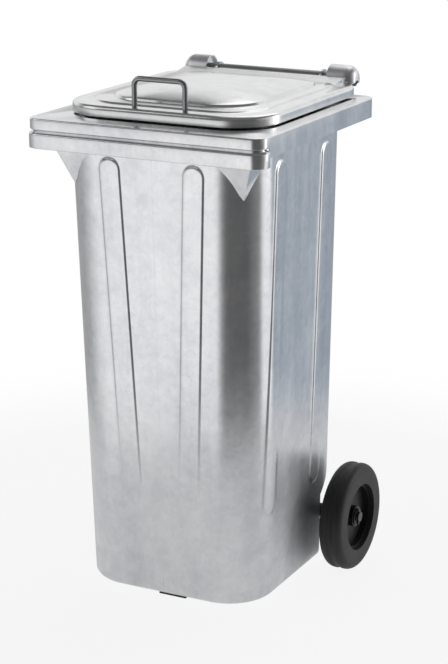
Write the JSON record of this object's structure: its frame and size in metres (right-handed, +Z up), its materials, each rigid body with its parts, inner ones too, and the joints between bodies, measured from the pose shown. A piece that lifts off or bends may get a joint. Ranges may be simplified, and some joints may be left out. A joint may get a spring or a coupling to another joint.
{
  "type": "wheeled galvanised waste bin with hinged lid",
  "caption": "Tall tapered galvanised steel waste bin on wheels, with rounded corners, pressed beads, a proud rim collar and a hinged lid with a rod handle.",
  "frame": {"origin": "on the floor, under the middle of the whole bin at rest", "axes": "+Z up, +X to the right of someone facing the bin's front, +Y towards the hinge and the wheels"},
  "size_m": [0.54, 0.5634, 1.0183],
  "materials": {
    "galvanised_sheet": "satin",
    "steel_bar": "satin",
    "tyre_rubber": "matt",
    "foot_rubber": "matt",
    "wheel_disc": "matt"
  },
  "bodies": {
    "bin": {"axle": "steel_bar", "axle_bracket_left": "galvanised_sheet", "axle_bracket_right": "galvanised_sheet", "axle_pin_left": "steel_bar", "axle_pin_right": "steel_bar", "axle_spacer_left": "steel_bar", "axle_spacer_right": "steel_bar", "bar_bracket_left": "galvanised_sheet", "bar_bracket_right": "galvanised_sheet", "bar_cap_left": "steel_bar", "bar_cap_right": "steel_bar", "base_pan": "galvanised_sheet", "body_panel_left": "galvanised_sheet", "body_panel_right": "galvanised_sheet", "corner_gusset_left": "galvanised_sheet", "corner_gusset_right": "galvanised_sheet", "foot_screw_left": "steel_bar", "foot_screw_right": "steel_bar", "front_band": "galvanised_sheet", "front_foot": "foot_rubber", "hinge_bar": "steel_bar", "rim_collar": "galvanised_sheet", "washer_left_inner": "steel_bar", "washer_left_outer": "steel_bar", "washer_right_inner": "steel_bar", "washer_right_outer": "steel_bar", "wheel_recess_panel": "galvanised_sheet"},
    "lid": {"hinge_ramp": "galvanised_sheet", "lid_handle": "steel_bar", "lid_hood_left": "galvanised_sheet", "lid_hood_right": "galvanised_sheet", "lid_lug_left_inner": "galvanised_sheet", "lid_lug_left_outer": "galvanised_sheet", "lid_lug_right_inner": "galvanised_sheet", "lid_lug_right_outer": "galvanised_sheet", "lid_panel": "galvanised_sheet"},
    "wheel_right": {"tyre_right": "tyre_rubber", "wheel_bush_right": "wheel_disc", "wheel_disc_right": "wheel_disc"},
    "wheel_left": {"tyre_left": "tyre_rubber", "wheel_bush_left": "wheel_disc", "wheel_disc_left": "wheel_disc"}
  },
  "joints": [
    {"name": "lid_hinge", "type": "hinge", "parent": "bin", "child": "lid", "pos_m": [0, 0.25375, 0.962], "axis": [-1, 0, 0], "range_deg": [0, 265]},
    {"name": "wheel_spin_right", "type": "hinge", "parent": "bin", "child": "wheel_right", "pos_m": [0.246, 0.11775, 0.1075], "axis": [1, 0, 0], "continuous": true},
    {"name": "wheel_spin_left", "type": "hinge", "parent": "bin", "child": "wheel_left", "pos_m": [-0.246, 0.11775, 0.1075], "axis": [1, 0, 0], "continuous": true}
  ]
}
